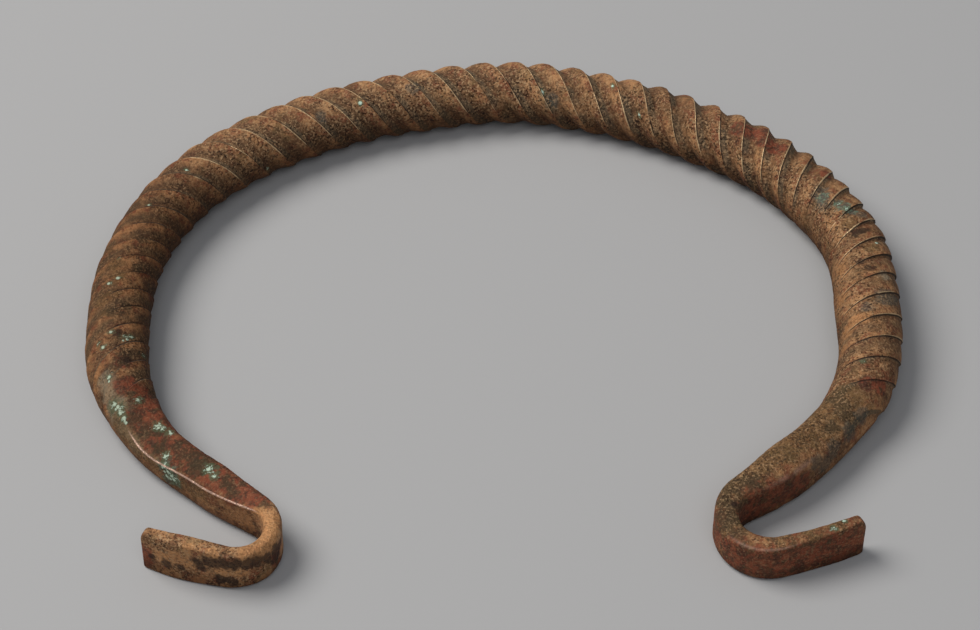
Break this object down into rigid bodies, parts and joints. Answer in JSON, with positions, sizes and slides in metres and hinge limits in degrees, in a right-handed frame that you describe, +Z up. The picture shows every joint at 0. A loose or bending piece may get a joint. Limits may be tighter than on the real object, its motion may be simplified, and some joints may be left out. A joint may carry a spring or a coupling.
{
  "type": "torc",
  "caption": "Open bronze neck ring of twisted bar with worn ribs, its ends flattened and bent outwards into hooks.",
  "frame": {"origin": "middle of the bottom of the torc's box, on the surface it lies on", "axes": "+Z up from that surface, +Y towards the middle of the back, -Y out through the mouth, +X across"},
  "size_m": [0.1552, 0.136, 0.0127],
  "materials": {
    "bronze": "matt brown patina with green and dark spots, rubbed bare on the edges"
  },
  "bodies": {
    "root": {"torc": "bronze"}
  },
  "joints": []
}
